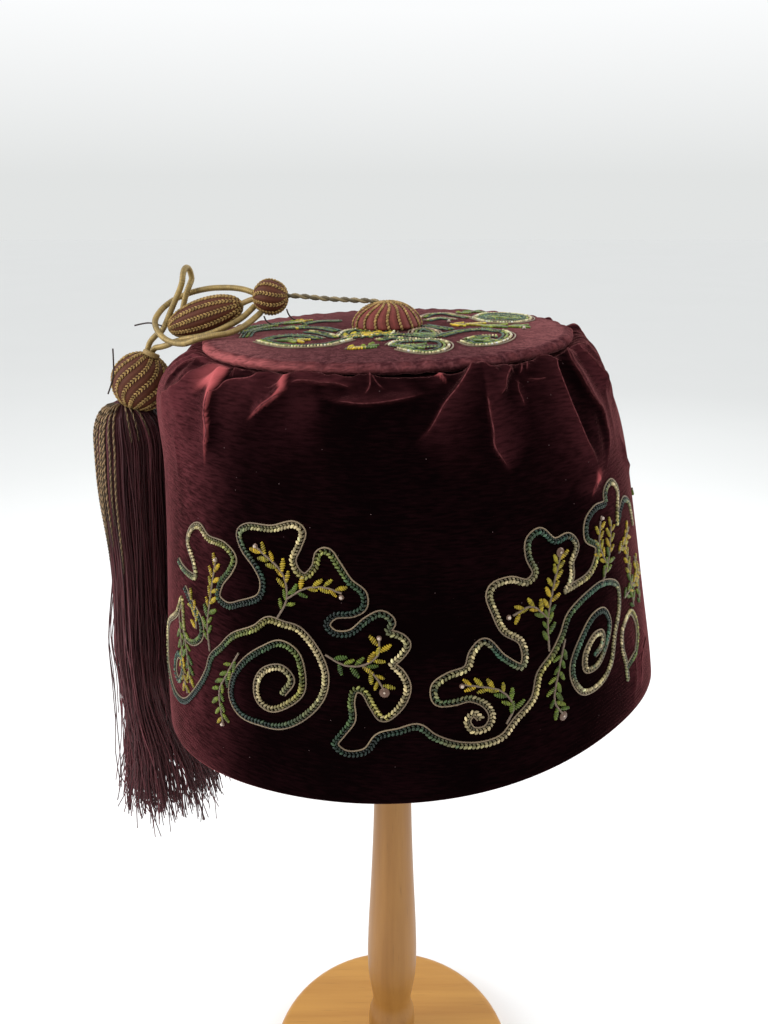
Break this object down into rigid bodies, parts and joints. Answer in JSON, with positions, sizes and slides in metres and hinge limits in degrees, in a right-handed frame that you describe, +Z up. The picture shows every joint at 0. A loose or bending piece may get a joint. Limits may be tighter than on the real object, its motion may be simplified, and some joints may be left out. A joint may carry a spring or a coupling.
{
  "type": "smoking cap on a hat stand",
  "caption": "Round velvet smoking cap, gathered under a flat embroidered top, with a corded button, knobs and a long side tassel, on a turned wooden hat stand.",
  "frame": {"origin": "centre of the flat underside of the stand's round base", "axes": "+Z up along the stand's post; the cap's embroidered front faces -Y and its tassel hangs on the -X side"},
  "size_m": [0.2127, 0.1848, 0.3782],
  "materials": {
    "velvet": "burgundy silk velvet, dark head-on and red at grazing angles",
    "tip_velvet": "burgundy velvet, a little worn",
    "button_cord": "brick-red cord wrapping with gold ribs",
    "gold_cord": "old gold cord, a little glossy",
    "knob_cord": "maroon-brown cord wrapping with gold ribs",
    "tassel_thread": "dark maroon silk threads",
    "braid": "chain-stitched braid shading from cream to green and blue-green",
    "leaf_silk": "mustard and leaf-green embroidery silk",
    "beads": "pearly beads and small sequins",
    "base_wood": "golden varnished wood",
    "post_wood": "honey-brown varnished wood"
  },
  "bodies": {
    "root": {"stand_base": "base_wood", "stand_post": "post_wood", "stand_head": "post_wood", "crown_side": "velvet", "crown_tip": "tip_velvet", "tip_button": "button_cord", "cord_twist": "gold_cord", "cord_ring": "gold_cord", "cord_upright": "gold_cord", "cord_hang": "gold_cord", "knob_ball": "knob_cord", "knob_oval": "knob_cord", "tassel_head": "knob_cord", "tassel_skirt": "tassel_thread"}
  },
  "joints": []
}
